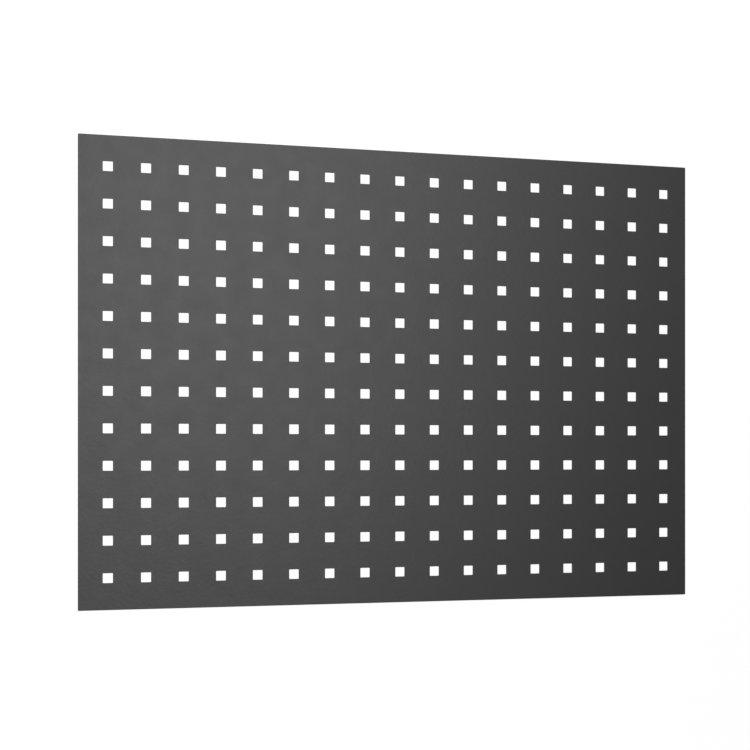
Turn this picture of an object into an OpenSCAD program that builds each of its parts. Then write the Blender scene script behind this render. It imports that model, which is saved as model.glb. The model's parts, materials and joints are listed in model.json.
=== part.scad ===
// Steel pegboard panel: one flat sheet, punched with a square grid of square peg holes.
// The sheet lies face up with its back on Z = 0. X runs along its width, and Y points to the
// edge that is at the top when the panel hangs on a wall. The origin is the centre of the back.

/* [Sheet] */
// Width of the sheet
sheet_w = 664; // [200:1:1500]
// Height of the sheet, as it hangs
sheet_h = 482; // [200:1:1200]
// Thickness of the sheet
sheet_t = 1.5; // [0.8:0.1:4]
// Radius of the sheet's four corners
sheet_corner_r = 1; // [0.2:0.1:8]

/* [Peg holes] */
// Distance between the centres of neighbouring holes, across and down
hole_pitch = 38; // [25:0.5:60]
// Side of each square hole
hole_side = 10; // [5:0.1:16]
// Radius in the four corners of each hole
hole_corner_r = 0.5; // [0.2:0.1:2]

/* [Setting out] */
// Distance from the sheet's left edge to the centre of the first column
first_column = 29.5; // [15:0.5:60]
// Distance from the sheet's top edge to the centre of the first row
first_row = 31.5; // [15:0.5:60]
// Least distance from the centre of the last column or row to the edge beyond it
last_edge_min = 20; // [12:0.5:30]

/* [Hidden] */
$fn = 48;

// Grey of the powder coat
coat_colour = "#4f4f4f";

// As many columns and rows as the sheet has room for
columns = floor((sheet_w - first_column - last_edge_min) / hole_pitch) + 1;
rows = floor((sheet_h - first_row - last_edge_min) / hole_pitch) + 1;

// Centre of a hole, counted from the top left corner of the sheet
function hole_centre(column, row) = [
    -sheet_w / 2 + first_column + column * hole_pitch,
    sheet_h / 2 - first_row - row * hole_pitch
];

// Rectangle about the origin with true arcs in its corners
module rounded_rectangle(width, height, radius) {
    square([width - 2 * radius, height], center = true);
    square([width, height - 2 * radius], center = true);
    for (x = [-1, 1], y = [-1, 1])
        translate([x * (width / 2 - radius), y * (height / 2 - radius)])
            circle(radius);
}

module sheet_outline() {
    rounded_rectangle(sheet_w, sheet_h, sheet_corner_r);
}

module peg_hole_outline() {
    rounded_rectangle(hole_side, hole_side, hole_corner_r);
}

module pegboard_panel() {
    color(coat_colour)
        linear_extrude(height = sheet_t)
            difference() {
                sheet_outline();
                for (column = [0 : columns - 1], row = [0 : rows - 1])
                    translate(hole_centre(column, row))
                        peg_hole_outline();
            }
}

pegboard_panel();
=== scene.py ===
# %% [markdown]
# # A punched steel pegboard
#
# The pegboard is one flat sheet of steel. A press punched a grid of small square holes through it, for
# the hooks that hold tools. Then it was painted: a dry grey powder was sprayed on and melted into a
# satin coat.
#
# The lesson makes it in the same order: the sheet with its holes, then the coat, then a studio to see
# it in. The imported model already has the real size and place, so sizes are measured from it wherever
# they can be.

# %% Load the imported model
import json
import math

import bmesh
import bpy
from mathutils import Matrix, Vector


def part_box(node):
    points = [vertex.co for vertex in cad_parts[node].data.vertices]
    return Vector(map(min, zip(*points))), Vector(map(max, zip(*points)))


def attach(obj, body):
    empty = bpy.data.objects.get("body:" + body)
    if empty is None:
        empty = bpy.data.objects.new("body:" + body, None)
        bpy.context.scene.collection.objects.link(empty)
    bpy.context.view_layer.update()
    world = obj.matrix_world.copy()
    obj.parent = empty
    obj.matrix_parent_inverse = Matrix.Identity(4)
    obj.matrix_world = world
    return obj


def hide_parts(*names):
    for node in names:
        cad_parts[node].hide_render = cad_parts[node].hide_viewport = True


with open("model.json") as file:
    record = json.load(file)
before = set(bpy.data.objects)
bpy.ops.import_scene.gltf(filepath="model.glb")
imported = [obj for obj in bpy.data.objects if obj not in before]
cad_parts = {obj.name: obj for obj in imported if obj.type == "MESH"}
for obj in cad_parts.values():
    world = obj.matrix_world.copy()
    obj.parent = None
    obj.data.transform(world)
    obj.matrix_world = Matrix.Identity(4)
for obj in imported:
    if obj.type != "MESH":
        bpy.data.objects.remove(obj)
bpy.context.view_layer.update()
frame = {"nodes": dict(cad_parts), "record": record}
scene = bpy.context.scene

MM = 0.001
PANEL = "pegboard_panel"
sheet_low, sheet_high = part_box(PANEL)
sheet = sheet_high - sheet_low
print(f"sheet: {sheet.x / MM:.1f} x {sheet.y / MM:.1f} x {sheet.z / MM:.2f} mm")

# %% [markdown]
# ## Where the holes are
#
# One punch makes every hole, and the press moves the sheet by one pitch between two strokes. The record
# gives the places of the holes at the corners of the grid, so the grid is measured from two of those.
# Only the pitch is written here.

# %% Measure the grid of holes
HOLE_PITCH = 38 * MM

mount_places = {mount["name"]: Vector(mount["pos_m"]) for mount in frame["record"]["mounts"]}
first_hole = mount_places["fixing_hole_top_left"]
last_hole = mount_places["fixing_hole_bottom_right"]
columns = round((last_hole.x - first_hole.x) / HOLE_PITCH) + 1
rows = round((first_hole.y - last_hole.y) / HOLE_PITCH) + 1
grid_centre = (first_hole + last_hole) / 2
print(f"holes: {columns} columns, {rows} rows")
print(f"middle of the grid: {grid_centre.x / MM:.2f}, {grid_centre.y / MM:.2f} mm")

# %% [markdown]
# ## Nodes from a script
#
# The holes repeat, so Geometry Nodes make them. In the editor, nodes are set out and joined by hand.
# Here helpers do that work: the first adds a node and feeds its inputs, and the others are short ways
# to calculate with numbers and with vectors. The paint is made of nodes too, so the same helpers serve
# for it later.

# %% Helpers that add a node
def add_node(tree, kind, inputs=None, **options):
    """Add a node, set its options, and feed its inputs with other nodes' sockets or with plain values."""
    node = tree.nodes.new(kind)
    for option, value in options.items():
        setattr(node, option, value)
    for key, value in (inputs or {}).items():
        if isinstance(value, bpy.types.NodeSocket):
            tree.links.new(value, node.inputs[key])
        else:
            node.inputs[key].default_value = value
    return node


def take(tree, kind, inputs=None, **options):
    """Add a node and give its first output."""
    return add_node(tree, kind, inputs, **options).outputs[0]


print("helpers that add the nodes of Blender", bpy.app.version_string)

# %% Helpers that calculate
def calculate(tree, operation, *numbers):
    """Add a Math node and give its result."""
    return take(tree, "ShaderNodeMath", dict(enumerate(numbers)), operation=operation)


def half(tree, size):
    """Halve a size."""
    return calculate(tree, "MULTIPLY", size, 0.5)


def vector(tree, x=0.0, y=0.0, z=0.0):
    """Join three numbers or sockets into one vector."""
    return take(tree, "ShaderNodeCombineXYZ", {"X": x, "Y": y, "Z": z})


def calculate_vector(tree, operation, *vectors):
    """Add a Vector Math node and give the vector that it makes."""
    return take(tree, "ShaderNodeVectorMath", dict(enumerate(vectors)), operation=operation)


def parts(tree, whole):
    """Give the X, Y and Z of a vector as three sockets."""
    return add_node(tree, "ShaderNodeSeparateXYZ", {"Vector": whole}).outputs


print("helpers that calculate with numbers and vectors")

# %% [markdown]
# ## Trees within trees
#
# A finished tree can be placed in the next one as a single node, so each step below is a small tree of
# its own. It starts with named inputs, which are the sizes of the real sheet, and it ends by sending a
# mesh out. Sizes that go together, such as those of an edge, are kept as one group. Where a tree is
# placed, each of its inputs is joined to the one of the same name around it.

# %% Helpers that start, end and place a tree
def start_tree(name, input_kinds):
    """Start a Geometry Nodes tree. Gives the tree and the sockets of its named inputs."""
    tree = bpy.data.node_groups.new(name, "GeometryNodeTree")
    for label, kind in input_kinds.items():
        tree.interface.new_socket(label, in_out="INPUT", socket_type=f"NodeSocket{kind}")
    tree.interface.new_socket("Mesh", in_out="OUTPUT", socket_type="NodeSocketGeometry")
    return tree, tree.nodes.new("NodeGroupInput").outputs


def end_tree(tree, mesh):
    """Send the finished mesh out of the tree."""
    add_node(tree, "NodeGroupOutput", {"Mesh": mesh})
    print(f"{tree.name}: {len(tree.nodes)} nodes")
    return tree


def place_tree(tree, finished, given, meshes=None):
    """Place a finished tree as one node. It gets the given inputs of the same names, and meshes by name."""
    sources = {socket.name: socket for socket in given} | (meshes or {})
    node = add_node(tree, "GeometryNodeGroup", node_tree=finished)
    for socket in node.inputs:
        tree.links.new(sources[socket.name], socket)
    return node.outputs[0]


print("helpers that start, end and place a tree")

# %% [markdown]
# ## The edge that a punch leaves
#
# A punch drags the skin of the sheet down with it before the steel shears, so the front edge of a hole
# is rolled over a little. The edge at the back is crisp, and the paint only just breaks it. The shear
# that cuts the outline leaves the same section. A Bevel modifier could round both edges, but the two
# amounts would have to be written on every edge as weights. It is simpler to draw the section once and
# to sweep it along each outline. There are hundreds of holes, so each rounding is one face wide, and
# smooth shading does the rest.

# %% Sweep the section of an edge along an outline
EDGE_SIZES = {"Thickness": "Float", "Front roll": "Float", "Back break": "Float"}
EDGE_SEGMENTS = 1
LAST_POINT_BEHIND = 1
WELD = 0.01 * MM


def edge_section(tree, given):
    """The section as a line from the back to the front. X runs into the steel and Y down from the front."""
    corners = take(tree, "GeometryNodeCurvePrimitiveQuadrilateral", {
        "Point 1": vector(tree, x=given["Back break"], y=given["Thickness"]),
        "Point 2": vector(tree, y=given["Thickness"]),
        "Point 3": vector(tree),
        "Point 4": vector(tree, x=given["Front roll"])}, mode="POINTS")
    line = take(tree, "GeometryNodeSetSplineCyclic", {"Geometry": corners, "Cyclic": False})
    at_front = calculate(tree, "GREATER_THAN", take(tree, "GeometryNodeInputIndex"), LAST_POINT_BEHIND)
    radius = take(tree, "GeometryNodeSwitch", {
        "Switch": at_front, "False": given["Back break"], "True": given["Front roll"]}, input_type="FLOAT")
    return take(tree, "GeometryNodeFilletCurve", {
        "Curve": line, "Radius": radius, "Count": EDGE_SEGMENTS}, mode="POLY")


def moved(tree, geometry, way):
    """Move a curve, a mesh or points."""
    return take(tree, "GeometryNodeTransform", {"Geometry": geometry, "Translation": way})


def welded(tree, mesh):
    """Merge the points of a mesh that lie together."""
    return take(tree, "GeometryNodeMergeByDistance", {"Geometry": mesh, "Distance": WELD})


def rolled_edge_tree():
    """Outline in, ring of wall out. It is open at both faces of the sheet and looks out of the steel."""
    tree, given = start_tree("rolled_edge", {"Outline": "Geometry"} | EDGE_SIZES)
    # Level normals keep the section upright all along the outline.
    level = take(tree, "GeometryNodeSetCurveNormal", {"Curve": given["Outline"]}, mode="Z_UP")
    raised = moved(tree, level, vector(tree, z=given["Thickness"]))
    swept = take(tree, "GeometryNodeCurveToMesh", {
        "Curve": raised, "Profile Curve": edge_section(tree, given)})
    return end_tree(tree, welded(tree, swept))


rolled_edge = rolled_edge_tree()

# %% [markdown]
# ## How a wall unfolds
#
# When the model goes to another program, its finish is baked into pictures, and a map says where each
# face lies on them. On that map the wall of a hole is unfolded into the hole, towards its middle, where
# the map is empty, and the wall of the outer edge is unfolded outwards. The way is known best while a
# wall is made, because its middle is at the origin then. So each point notes it as an attribute, which
# stays with the point when the wall is copied.

# %% Note the way on the points
UNFOLDS = "unfolds"


def note_unfolding(tree, mesh, across, down):
    """Note on each point which way its wall unfolds: its place times these numbers, across and down."""
    place = take(tree, "GeometryNodeInputPosition")
    way = calculate_vector(tree, "MULTIPLY", place, vector(tree, across, down))
    return take(tree, "GeometryNodeStoreNamedAttribute", {
        "Geometry": mesh, "Name": UNFOLDS, "Value": way}, data_type="FLOAT_VECTOR")


print("attribute for the way:", UNFOLDS)

# %% [markdown]
# ## One hole and the steel around it
#
# Cutting the holes with a Boolean leaves long thin faces all over the sheet, which shade badly. Instead
# the hole is made with its own square of sheet, one pitch wide. The open edges of the hole's ring are
# extruded by nothing and then pulled straight out to the square, at the front and the back at once.
# Such tiles meet edge to edge.

# %% Make one hole with its tile of sheet
HOLE_SIZES = {"Pitch": "Float", "Hole side": "Float", "Hole corner": "Float"} | EDGE_SIZES
HOLE_CORNER_SEGMENTS = 2


def open_edges(tree):
    """Select the edges that have fewer than two faces."""
    return calculate(tree, "LESS_THAN", take(tree, "GeometryNodeInputMeshEdgeNeighbors"), 2)


def pulled_to_square(tree, side):
    """The place of a point after it is pulled straight out from the middle to the edge of a square."""
    place = take(tree, "GeometryNodeInputPosition")
    along = parts(tree, place)
    across, down = (calculate(tree, "ABSOLUTE", along[axis]) for axis in ("X", "Y"))
    stretch = calculate(tree, "DIVIDE", half(tree, side), calculate(tree, "MAXIMUM", across, down))
    return calculate_vector(tree, "MULTIPLY", place, vector(tree, stretch, stretch, 1.0))


def peg_hole_tree():
    """One square hole about the origin, in a square tile as wide as the pitch."""
    tree, given = start_tree("peg_hole", HOLE_SIZES)
    square = take(tree, "GeometryNodeCurvePrimitiveQuadrilateral", {
        "Width": given["Hole side"], "Height": given["Hole side"]})
    outline = take(tree, "GeometryNodeFilletCurve", {
        "Curve": square, "Radius": given["Hole corner"], "Count": HOLE_CORNER_SEGMENTS}, mode="POLY")
    wall = place_tree(tree, rolled_edge, given, {"Outline": outline})
    inwards = calculate(tree, "DIVIDE", -1.0, half(tree, given["Hole side"]))
    noted = note_unfolding(tree, wall, inwards, inwards)
    grown = add_node(tree, "GeometryNodeExtrudeMesh", {
        "Mesh": noted, "Selection": open_edges(tree), "Offset Scale": 0.0}, mode="EDGES").outputs
    return end_tree(tree, take(tree, "GeometryNodeSetPosition", {
        "Geometry": grown["Mesh"], "Selection": grown["Top"],
        "Position": pulled_to_square(tree, given["Pitch"])}))


peg_hole = peg_hole_tree()

# %% [markdown]
# ## All the holes
#
# The press repeats one stroke, and so do Geometry Nodes: a grid of points, one tile on each. Two Array
# modifiers would do it too, but they start from a corner and not from the middle of the grid. Instances
# are only references to one tile, so they are made real and welded where they meet.

# %% Set out the tiles
GRID_SIZES = {"Columns": "Int", "Rows": "Int", "Grid centre": "Vector"} | HOLE_SIZES


def hole_tiles_tree():
    """All the tiles as one welded mesh."""
    tree, given = start_tree("hole_tiles", GRID_SIZES)
    tile = place_tree(tree, peg_hole, given)
    last_column = calculate(tree, "SUBTRACT", given["Columns"], 1)
    last_row = calculate(tree, "SUBTRACT", given["Rows"], 1)
    points = take(tree, "GeometryNodeMeshGrid", {
        "Size X": calculate(tree, "MULTIPLY", last_column, given["Pitch"]),
        "Size Y": calculate(tree, "MULTIPLY", last_row, given["Pitch"]),
        "Vertices X": given["Columns"], "Vertices Y": given["Rows"]})
    placed = moved(tree, points, given["Grid centre"])
    tiles = take(tree, "GeometryNodeInstanceOnPoints", {"Points": placed, "Instance": tile})
    realized = take(tree, "GeometryNodeRealizeInstances", {"Geometry": tiles})
    return end_tree(tree, welded(tree, realized))


hole_tiles = hole_tiles_tree()

# %% [markdown]
# ## The outer edge
#
# The sheet is cut to size with the same rolled edge, and its four corners are eased so that they don't
# scratch. The outline is drawn the other way round than a hole's, so that the section lies inside it.
# Each side is cut into even pieces first, which keeps the faces of the margin from becoming very long.

# %% Draw the outline and sweep its edge
SHEET_SIZES = {"Width": "Float", "Height": "Float", "Sheet corner": "Float"} | EDGE_SIZES
PIECES_PER_SIDE = 12
SHEET_CORNER_SEGMENTS = 3


def outer_edge_tree():
    """The ring of wall around the sheet."""
    tree, given = start_tree("outer_edge", SHEET_SIZES)
    rectangle = take(tree, "GeometryNodeCurvePrimitiveQuadrilateral", {
        "Width": given["Width"], "Height": given["Height"]})
    cut = take(tree, "GeometryNodeSubdivideCurve", {"Curve": rectangle, "Cuts": PIECES_PER_SIDE - 1})
    from_corner = calculate(tree, "MODULO", take(tree, "GeometryNodeInputIndex"), PIECES_PER_SIDE)
    at_corner = calculate(tree, "LESS_THAN", from_corner, 1)
    rounded = take(tree, "GeometryNodeFilletCurve", {
        "Curve": cut, "Radius": calculate(tree, "MULTIPLY", at_corner, given["Sheet corner"]),
        "Count": SHEET_CORNER_SEGMENTS}, mode="POLY")
    outline = take(tree, "GeometryNodeReverseCurve", {"Curve": rounded})
    return end_tree(tree, place_tree(tree, rolled_edge, given, {"Outline": outline}))


outer_edge = outer_edge_tree()

# %% [markdown]
# ## The margin
#
# Between the outermost tiles and the edge a margin is left. It is flat and has no holes, so it is
# simply filled between its two outlines, once in front and once behind. After welding, the sheet is one
# closed mesh.

# %% Close the sheet
def height_of_point(tree):
    """How high a point lies above the back of the sheet."""
    return parts(tree, take(tree, "GeometryNodeInputPosition"))["Z"]


def joined(tree, *meshes):
    """Join several meshes into one."""
    join = add_node(tree, "GeometryNodeJoinGeometry")
    for mesh in meshes:
        tree.links.new(mesh, join.inputs["Geometry"])
    return join.outputs[0]


def margin(tree, rings, edges):
    """Fill the space between the outlines that the selected edges of the rings make."""
    outlines = take(tree, "GeometryNodeMeshToCurve", {"Mesh": rings, "Selection": edges})
    return take(tree, "GeometryNodeFillCurve", {"Curve": outlines})


def closed_sheet_tree():
    """Tiles and outer edge in, closed sheet out."""
    tree, given = start_tree("closed_sheet", {
        "Tiles": "Geometry", "Outer edge": "Geometry",
        "Width": "Float", "Height": "Float", "Thickness": "Float"})
    rings = joined(tree, given["Tiles"], given["Outer edge"])
    loops = open_edges(tree)
    in_front = calculate(tree, "GREATER_THAN", height_of_point(tree), half(tree, given["Thickness"]))
    front_loops = calculate(tree, "MULTIPLY", loops, in_front)
    # Both are 0 or 1, so the result is 1 only for an open edge that isn't in front.
    back_loops = calculate(tree, "GREATER_THAN", loops, in_front)
    # Fill Curve lays its faces at Z = 0, looking up. Those in front are raised, those behind are flipped.
    front = moved(tree, margin(tree, rings, front_loops), vector(tree, z=given["Thickness"]))
    back = take(tree, "GeometryNodeFlipFaces", {"Mesh": margin(tree, rings, back_loops)})

    border = joined(tree, given["Outer edge"], front, back)
    outwards = [calculate(tree, "DIVIDE", 1.0, half(tree, given[side])) for side in ("Width", "Height")]
    noted = note_unfolding(tree, border, *outwards)
    return end_tree(tree, welded(tree, joined(tree, given["Tiles"], noted)))


closed_sheet = closed_sheet_tree()

# %% [markdown]
# ## Where flat meets round
#
# The faces shade smoothly over the rounded edges. The creases where those meet a flat face are marked
# sharp, or the flats would look dished. What lies between the two faces is also marked as rim, because
# paint that melts pulls back from an edge and is thinner there.

# %% Mark the creases and the rim
CREASE = math.radians(10)
RIM = "rim"


def marked_edges_tree():
    """The sheet with sharp creases, and with the rim as a number from 0 on the flats to 1 on the edges."""
    tree, given = start_tree("marked_edges", {"Sheet": "Geometry", "Thickness": "Float"})
    middle = half(tree, given["Thickness"])
    from_middle = calculate(tree, "ABSOLUTE", calculate(tree, "SUBTRACT", height_of_point(tree), middle))
    on_face = calculate(tree, "GREATER_THAN", from_middle, calculate(tree, "SUBTRACT", middle, WELD))
    bent = calculate(tree, "GREATER_THAN", take(tree, "GeometryNodeInputMeshEdgeAngle"), CREASE)
    creased = take(tree, "GeometryNodeSetShadeSmooth", {
        "Geometry": given["Sheet"], "Selection": calculate(tree, "MULTIPLY", on_face, bent),
        "Shade Smooth": False}, domain="EDGE")
    return end_tree(tree, take(tree, "GeometryNodeStoreNamedAttribute", {
        "Geometry": creased, "Name": RIM, "Value": calculate(tree, "SUBTRACT", 1.0, on_face)}))


marked_edges = marked_edges_tree()

# %% [markdown]
# ## A map of the skin
#
# An automatic unwrap would cut the holes' walls into a thousand scraps. The sheet can be laid out by
# rule instead: the front as it is, with every wall unfolded the way that was noted, and the back turned
# over above the front. The broken edge at the back leans away from the hole, so it is unfolded further,
# or its faces would be squeezed to a line. All of it keeps about one scale.

# %% Unfold the walls
BREAK_UNFOLDS = 2


def unfolded_place(tree, given):
    """Where a point lies after unfolding: as far from the front as it was deep, further in the break."""
    height = height_of_point(tree)
    depth = calculate(tree, "SUBTRACT", given["Thickness"], height)
    into_break = calculate(tree, "MAXIMUM", calculate(tree, "SUBTRACT", given["Back break"], height), 0.0)
    far = calculate(tree, "MULTIPLY_ADD", into_break, BREAK_UNFOLDS, depth)
    way = take(tree, "GeometryNodeInputNamedAttribute", {"Name": UNFOLDS}, data_type="FLOAT_VECTOR")
    place = take(tree, "GeometryNodeInputPosition")
    return calculate_vector(tree, "MULTIPLY_ADD", way, vector(tree, far, far), place)


print(f"the broken edge unfolds {BREAK_UNFOLDS} of its depths further")

# %% Lay front and back on the map
BAKE_MAP = "OFBake"
BACK_FACING = -0.8
TURNED_OVER = (-1.0, 1.0, 0.0)
MAP_GAP = 3 * MM


def back_faces(tree):
    """Select the faces of the back, which look straight down."""
    rise = parts(tree, take(tree, "GeometryNodeInputNormal"))["Z"]
    face_rise = take(tree, "GeometryNodeFieldOnDomain", {"Value": rise}, domain="FACE")
    return calculate(tree, "LESS_THAN", face_rise, BACK_FACING)


def skin_map_tree():
    """The sheet with its map, and without the notes that helped to make it."""
    tree, given = start_tree("skin_map", {
        "Sheet": "Geometry",
        "Width": "Float", "Height": "Float", "Thickness": "Float", "Back break": "Float"})
    left = calculate(tree, "ADD", half(tree, given["Width"]), MAP_GAP)
    low = calculate(tree, "ADD", half(tree, given["Height"]), MAP_GAP)
    high = calculate(tree, "ADD", calculate(tree, "ADD", low, given["Height"]), MAP_GAP)
    front_spot = calculate_vector(tree, "ADD", unfolded_place(tree, given), vector(tree, left, low))
    mirrored = calculate_vector(tree, "MULTIPLY", take(tree, "GeometryNodeInputPosition"), TURNED_OVER)
    back_spot = calculate_vector(tree, "ADD", mirrored, vector(tree, left, high))
    spot = take(tree, "GeometryNodeSwitch", {
        "Switch": back_faces(tree), "False": front_spot, "True": back_spot}, input_type="VECTOR")

    wide = calculate(tree, "ADD", left, left)
    tall = calculate(tree, "ADD", low, high)
    scale = calculate(tree, "DIVIDE", 1.0, calculate(tree, "MAXIMUM", wide, tall))
    on_map = calculate_vector(tree, "MULTIPLY", spot, vector(tree, scale, scale))
    mapped = take(tree, "GeometryNodeStoreNamedAttribute", {
        "Geometry": given["Sheet"], "Name": BAKE_MAP, "Value": on_map}, data_type="FLOAT2", domain="CORNER")
    return end_tree(tree, take(tree, "GeometryNodeRemoveAttribute", {"Geometry": mapped, "Name": UNFOLDS}))


skin_map = skin_map_tree()

# %% [markdown]
# ## The whole sheet
#
# The last tree only puts the others one after the other and gives the faces their material. Its inputs
# are the sizes of the real sheet, so another panel needs other numbers and no other nodes.

# %% Put the steps together
def perforated_sheet_tree():
    """The pegboard: tiles, outer edge and margins as one closed mesh, with its marks and its map."""
    tree, given = start_tree("perforated_sheet", SHEET_SIZES | GRID_SIZES | {"Coat": "Material"})
    closed = place_tree(tree, closed_sheet, given, {
        "Tiles": place_tree(tree, hole_tiles, given), "Outer edge": place_tree(tree, outer_edge, given)})
    marked = place_tree(tree, marked_edges, given, {"Sheet": closed})
    mapped = place_tree(tree, skin_map, given, {"Sheet": marked})
    realized = take(tree, "GeometryNodeRealizeInstances", {"Geometry": mapped})
    return end_tree(tree, take(tree, "GeometryNodeSetMaterial", {
        "Geometry": realized, "Material": given["Coat"]}))


perforated_sheet = perforated_sheet_tree()

# %% [markdown]
# ## From the tree to a plain mesh
#
# The tree works as a modifier on the panel's object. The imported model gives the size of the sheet, and
# the sizes of the punch and of the rounded edges are written here. A modifier's inputs are set by their
# identifiers, before Blender first works the tree out. The result is then copied into a plain mesh, so
# that the object needs no nodes any more.

# %% Set the sizes
SHEET_CORNER = 1 * MM
HOLE_SIDE = 10 * MM
HOLE_CORNER = 0.5 * MM
FRONT_ROLL = 0.3 * MM
BACK_BREAK = 0.12 * MM

coat = bpy.data.materials.new("satin_powder_coat")
panel = bpy.data.objects.new("punched_sheet", bpy.data.meshes.new("empty"))
scene.collection.objects.link(panel)

modifier = panel.modifiers.new("perforated_sheet", "NODES")
modifier.node_group = perforated_sheet
sizes = {
    "Width": sheet.x, "Height": sheet.y, "Thickness": sheet.z, "Sheet corner": SHEET_CORNER,
    "Columns": columns, "Rows": rows, "Pitch": HOLE_PITCH,
    "Grid centre": (grid_centre.x, grid_centre.y, 0.0),
    "Hole side": HOLE_SIDE, "Hole corner": HOLE_CORNER,
    "Front roll": FRONT_ROLL, "Back break": BACK_BREAK, "Coat": coat}
for item in perforated_sheet.interface.items_tree:
    if item.in_out == "INPUT":
        modifier[item.identifier] = sizes[item.name]
print(f"inputs of the panel: {', '.join(sizes)}")

# %% Turn the tree into the panel's mesh
evaluated = panel.evaluated_get(bpy.context.evaluated_depsgraph_get())
panel_mesh = bpy.data.meshes.new_from_object(evaluated)
panel_mesh.name = "punched_sheet"
panel.modifiers.clear()
panel.data = panel_mesh
triangles = sum(len(face.vertices) - 2 for face in panel_mesh.polygons)
print(f"panel: {len(panel_mesh.polygons)} faces, {triangles} triangles")
print("maps:", [layer.name for layer in panel_mesh.uv_layers])

# %% [markdown]
# ## Is the mesh sound?
#
# A solid sheet has no open edge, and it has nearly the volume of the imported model: a little less,
# because its edges are rounded. Both are quick to measure with a BMesh, and they would show a tile that
# didn't weld or a face that looks inwards.

# %% Measure the mesh
def mesh_facts(mesh):
    """Volume in cubic metres, and the number of edges that don't have exactly two faces."""
    shape = bmesh.new()
    shape.from_mesh(mesh)
    loose = sum(not edge.is_manifold for edge in shape.edges)
    volume = shape.calc_volume(signed=True)
    shape.free()
    return volume, loose


panel_volume, loose_edges = mesh_facts(panel_mesh)
cad_volume, _ = mesh_facts(frame["nodes"][PANEL].data)
print(f"volume: {panel_volume / MM ** 3:.0f} cubic mm, and {cad_volume / MM ** 3:.0f} in the packed model")
print(f"loose edges: {loose_edges}")

# %% [markdown]
# ## Fastened to the frame
#
# The panel has no joints, so it rides on the one body there is. It stands for the plain sheet of the
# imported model, which stays as it is for collision, and it takes its finish from the slot that the
# record names.

# %% Fasten the panel to the frame
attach(panel, "root")
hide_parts(PANEL)
print(f"{panel.name} replaces {PANEL}")

# %% [markdown]
# ## The tone of the coat
#
# Powder paint melts into an even film. It has no brush marks and hardly any change of tone, but a
# single grey would look like plastic in a close view. An image could vary it, but it would have to be
# drawn and fitted first. A noise on Object coordinates is there at once and has a real size: wide
# clouds, a little paler or darker, where the film is thinner or thicker. Along the rim the paint pulled
# back as it melted, so the film there is paler.

# %% Vary the tone
CLOUD_WIDTH = 60 * MM
CLOUD_TONE = 0.02
RIM_TONE = 0.12
NOISE_DETAIL = 2
NOISE_LOW, NOISE_HIGH = 0.3, 0.7
# The Mix node has like-named sockets for each kind of data. Its colours are at these places.
MIX_FIRST, MIX_SECOND, MIX_RESULT = 6, 7, 2

coat_slots = {material["slot"]: material for material in frame["record"]["materials"]}
coat_colour = Vector(coat_slots["powder_coat"]["base_color"])


def noise(tree, place, width, detail=NOISE_DETAIL):
    """A soft random pattern with blots of about the given width."""
    return take(tree, "ShaderNodeTexNoise", {"Vector": place, "Scale": 1 / width, "Detail": detail})


def spread(tree, value, low, high):
    """Spread a noise, which mostly keeps near its middle, evenly from low to high."""
    return take(tree, "ShaderNodeMapRange", {
        "Value": value, "From Min": NOISE_LOW, "From Max": NOISE_HIGH, "To Min": low, "To Max": high})


def mixed_colour(tree, factor, first, second):
    """Blend two colours by a factor from 0 to 1."""
    inputs = {"Factor": factor, MIX_FIRST: first, MIX_SECOND: second}
    return add_node(tree, "ShaderNodeMix", inputs, data_type="RGBA").outputs[MIX_RESULT]


def coat_shade(change):
    """The coat's own colour, paler or darker by a share of it."""
    return (*(coat_colour * (1 + change)), 1)


def coat_tone(tree, place, rim):
    """Clouds on the flats, and a paler rim."""
    clouds = spread(tree, noise(tree, place, CLOUD_WIDTH), 0, 1)
    film = mixed_colour(tree, clouds, coat_shade(-CLOUD_TONE), coat_shade(CLOUD_TONE))
    return mixed_colour(tree, rim, film, coat_shade(RIM_TONE))


print(f"coat: grey {coat_colour.x:.3f}, with clouds {CLOUD_WIDTH / MM:.0f} mm wide")

# %% [markdown]
# ## The gloss of the coat
#
# A satin coat takes the light with a broad soft sheen, and its roughness says how broad. The powder
# doesn't melt equally everywhere, so the real coat is a little more or less glossy from patch to patch.
# A second noise, smaller than the clouds, makes the patches. The thin film along the rim is smoother.

# %% Vary the gloss
COAT_ROUGHNESS = 0.53
PATCH_WIDTH = 20 * MM
PATCH_ROUGHNESS = 0.03
RIM_SMOOTHER = 0.05


def coat_roughness(tree, place, rim):
    """Patches of gloss on the flats, and a smoother rim."""
    patches = spread(
        tree, noise(tree, place, PATCH_WIDTH),
        COAT_ROUGHNESS - PATCH_ROUGHNESS, COAT_ROUGHNESS + PATCH_ROUGHNESS)
    return calculate(tree, "SUBTRACT", patches, calculate(tree, "MULTIPLY", rim, RIM_SMOOTHER))


print(f"roughness: {COAT_ROUGHNESS}, with patches {PATCH_WIDTH / MM:.0f} mm wide")

# %% [markdown]
# ## The skin of the coat
#
# The melted film sets with a faint ripple, like the skin of an orange, and on the ripple lies the fine
# grain of the powder. Both are much finer than the faces of the sheet. To move real points for them
# would take millions of faces, so they are bump: two noises, one on top of the other, that only tilt
# the way the surface takes the light.

# %% Add the ripple and the grain
RIPPLE_WIDTH = 4 * MM
RIPPLE_HEIGHT = 0.2 * MM
GRAIN_WIDTH = 0.6 * MM
GRAIN_HEIGHT = 0.12 * MM
SKIN_DETAIL = 1


def coat_skin(tree, place):
    """The normal of the surface, with the grain on the ripple."""
    ripple = take(tree, "ShaderNodeBump", {
        "Height": noise(tree, place, RIPPLE_WIDTH, SKIN_DETAIL), "Distance": RIPPLE_HEIGHT})
    return take(tree, "ShaderNodeBump", {
        "Height": noise(tree, place, GRAIN_WIDTH, SKIN_DETAIL), "Distance": GRAIN_HEIGHT, "Normal": ripple})


print(f"ripple: {RIPPLE_WIDTH / MM:.0f} mm wide, grain: {GRAIN_WIDTH / MM:.1f} mm wide")

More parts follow.
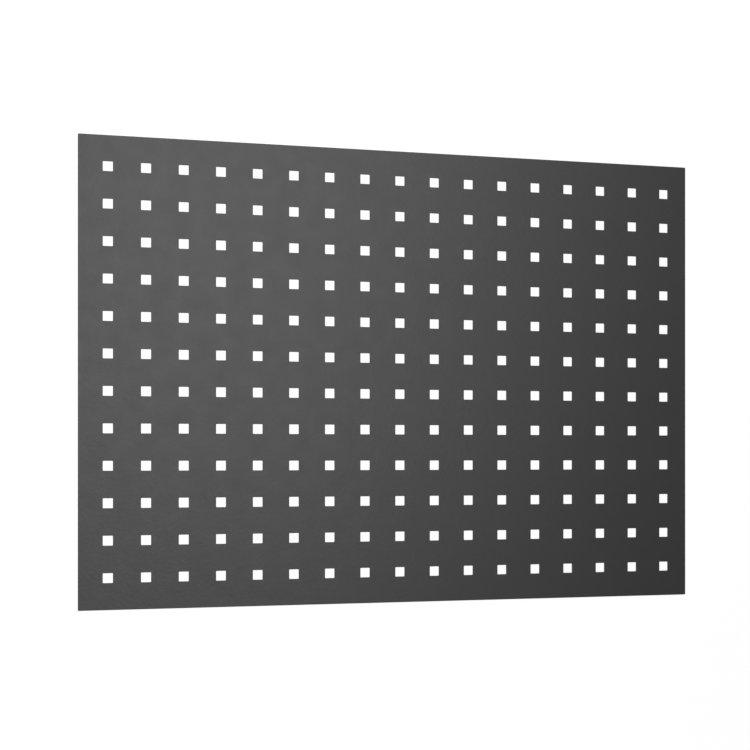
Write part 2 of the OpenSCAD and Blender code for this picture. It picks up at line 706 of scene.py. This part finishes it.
# %% [markdown]
# ## The coat on the sheet
#
# Tone, gloss and skin meet in one Principled BSDF, which is the usual shader for paint. No metal shows,
# because the film covers the steel all over. So the shader isn't metallic, and everything else on it
# stays as it comes.

# %% Paint the sheet
def paint(material):
    """Satin powder coat, with its tone, its gloss and its skin."""
    material.use_nodes = True
    tree = material.node_tree
    shader = tree.nodes["Principled BSDF"].inputs
    place = add_node(tree, "ShaderNodeTexCoord").outputs["Object"]
    rim = add_node(tree, "ShaderNodeAttribute", attribute_name=RIM).outputs["Fac"]
    tree.links.new(coat_tone(tree, place, rim), shader["Base Color"])
    tree.links.new(coat_roughness(tree, place, rim), shader["Roughness"])
    tree.links.new(coat_skin(tree, place), shader["Normal"])
    print(f"{material.name}: {len(tree.nodes)} nodes")


paint(coat)

# %% [markdown]
# ## The floor
#
# The sheet lies face up on a pale floor. To the camera the floor has to be white, but a lamp strong
# enough for that would wash out the sheet. So the floor glows, and only for rays that come from the
# camera, from a reflection or through glass, which puts next to no light on the sheet. Near the sheet
# the glow leaves room for the light that falls there, so that the floor still shows a shadow. Further
# out, where the lamp fades, it rises to white.

# %% Lay the floor
FLOOR_SIDE = 16
FLOOR_DROP = 0.1 * MM


def pale_floor():
    """A wide floor just under the sheet."""
    reach = FLOOR_SIDE / 2
    corners = [(x * reach, y * reach, -FLOOR_DROP) for x, y in ((-1, -1), (1, -1), (1, 1), (-1, 1))]
    mesh = bpy.data.meshes.new("floor")
    mesh.from_pydata(corners, [], [range(len(corners))])
    floor = bpy.data.objects.new("floor", mesh)
    scene.collection.objects.link(floor)
    return floor


floor = pale_floor()
print(f"floor: {FLOOR_SIDE} m square, {FLOOR_DROP / MM:.1f} mm under the sheet")

# %% Make it glow
FLOOR_GREY = (0.2, 0.2, 0.2, 1.0)
GLOW_NEAR = 0.9
GLOW_FAR = 1.0
NEAR = 0.3
FAR = 1.5


def pale_paint():
    """Matt grey that glows for the camera, and more so away from the sheet."""
    material = bpy.data.materials.new("pale_floor")
    material.use_nodes = True
    tree = material.node_tree
    tree.nodes.clear()
    path = add_node(tree, "ShaderNodeLightPath").outputs
    seen = calculate(tree, "MAXIMUM", path["Is Camera Ray"], path["Is Glossy Ray"])
    seen = calculate(tree, "MAXIMUM", seen, path["Is Transmission Ray"])
    place = add_node(tree, "ShaderNodeTexCoord").outputs["Object"]
    away = add_node(tree, "ShaderNodeVectorMath", {0: place}, operation="LENGTH").outputs["Value"]
    level = take(tree, "ShaderNodeMapRange", {
        "Value": away, "From Min": NEAR, "From Max": FAR, "To Min": GLOW_NEAR, "To Max": GLOW_FAR})
    glow = take(tree, "ShaderNodeEmission", {"Strength": calculate(tree, "MULTIPLY", seen, level)})
    matt = take(tree, "ShaderNodeBsdfDiffuse", {"Color": FLOOR_GREY})
    both = take(tree, "ShaderNodeAddShader", {0: glow, 1: matt})
    add_node(tree, "ShaderNodeOutputMaterial", {"Surface": both})
    return material


floor.data.materials.append(pale_paint())
print(f"glow: {GLOW_NEAR} near the sheet, {GLOW_FAR} from {FAR} m away")

# %% [markdown]
# ## The room
#
# A satin coat mirrors what is above it, so a room that is white all over would lay a veil on the sheet.
# Here the walls are white, which gives every low view a white background, and the ceiling is dim, which
# leaves the sheen to the lamp. A world with a gradient by height is enough for that.

# %% Surround it with white walls and a dim ceiling
WALL = (1.0, 1.0, 1.0, 1.0)
CEILING = (0.05, 0.05, 0.05, 1.0)
WALL_ENDS = 0.2
CEILING_STARTS = 0.4


def studio_world():
    """White at the horizon and dim overhead. The height of a direction runs from 0 to 1."""
    world = bpy.data.worlds.new("studio")
    world.use_nodes = True
    tree = world.node_tree
    direction = add_node(tree, "ShaderNodeTexCoord").outputs["Generated"]
    overhead = take(tree, "ShaderNodeMapRange", {
        "Value": parts(tree, direction)["Z"], "From Min": WALL_ENDS, "From Max": CEILING_STARTS})
    tree.links.new(mixed_colour(tree, overhead, WALL, CEILING), tree.nodes["Background"].inputs["Color"])
    return world


scene.world = studio_world()
print(f"world: white up to {math.degrees(math.asin(WALL_ENDS)):.0f} degrees above the floor")

# %% [markdown]
# ## The lamp
#
# The sheet is palest near its top left and falls off evenly to the lower right. That is the sheen of
# one large soft box that hangs high beyond the top left corner of the sheet. It is feathered: turned
# away to the left, so that only the edge of its light falls on the sheet. A small lamp would leave a
# hot spot instead. The place and the power of the soft box were worked out so that the sheen falls off
# as it does in the photograph.

# %% Hang the soft box
SOFT_BOX_PLACE = Vector((-0.347, 0.541, 1.40))
SOFT_BOX_AIM = Vector((-1.392, 0.784, 0.0))
SOFT_BOX_SIDE = 1.6
SOFT_BOX_WATTS = 24.8

lamp = bpy.data.lights.new("soft_box", "AREA")
lamp.shape = "SQUARE"
lamp.size = SOFT_BOX_SIDE
lamp.energy = SOFT_BOX_WATTS
soft_box = bpy.data.objects.new("soft_box", lamp)
soft_box.location = SOFT_BOX_PLACE
soft_box.rotation_euler = (SOFT_BOX_AIM - SOFT_BOX_PLACE).to_track_quat("-Z", "Y").to_euler()
soft_box.visible_camera = False
scene.collection.objects.link(soft_box)
print(f"soft box: {SOFT_BOX_SIDE} m square, {SOFT_BOX_WATTS} W, {SOFT_BOX_PLACE.z:.1f} m up")

# %% [markdown]
# ## The camera
#
# The camera looks down on the sheet from the left of its middle, turned a little to the right, so the
# right edge comes out shorter than the left. The upright edges stay parallel, which means that it isn't
# tilted up or down: the sheet is brought to the middle of the picture by shifting the lens instead.
# These values were worked out from the places of the holes in the photograph.

# %% Set up the camera
CAMERA_PLACE = Vector((-0.2670, -0.0839, 1.1664))
CAMERA_TURN = math.radians(11.696)
CAMERA_LENS = 53.66
CAMERA_SENSOR = 36
CAMERA_RISE = 0.1071

camera_data = bpy.data.cameras.new("camera")
camera_data.lens = CAMERA_LENS
camera_data.sensor_width = CAMERA_SENSOR
camera_data.shift_y = CAMERA_RISE
camera = bpy.data.objects.new("camera", camera_data)
camera.location = CAMERA_PLACE
camera.rotation_euler = (0, -CAMERA_TURN, 0)
scene.collection.objects.link(camera)
scene.camera = camera
scene.view_settings.view_transform = "Standard"
print(f"camera: {CAMERA_PLACE.z:.2f} m above the floor, {CAMERA_LENS} mm lens")
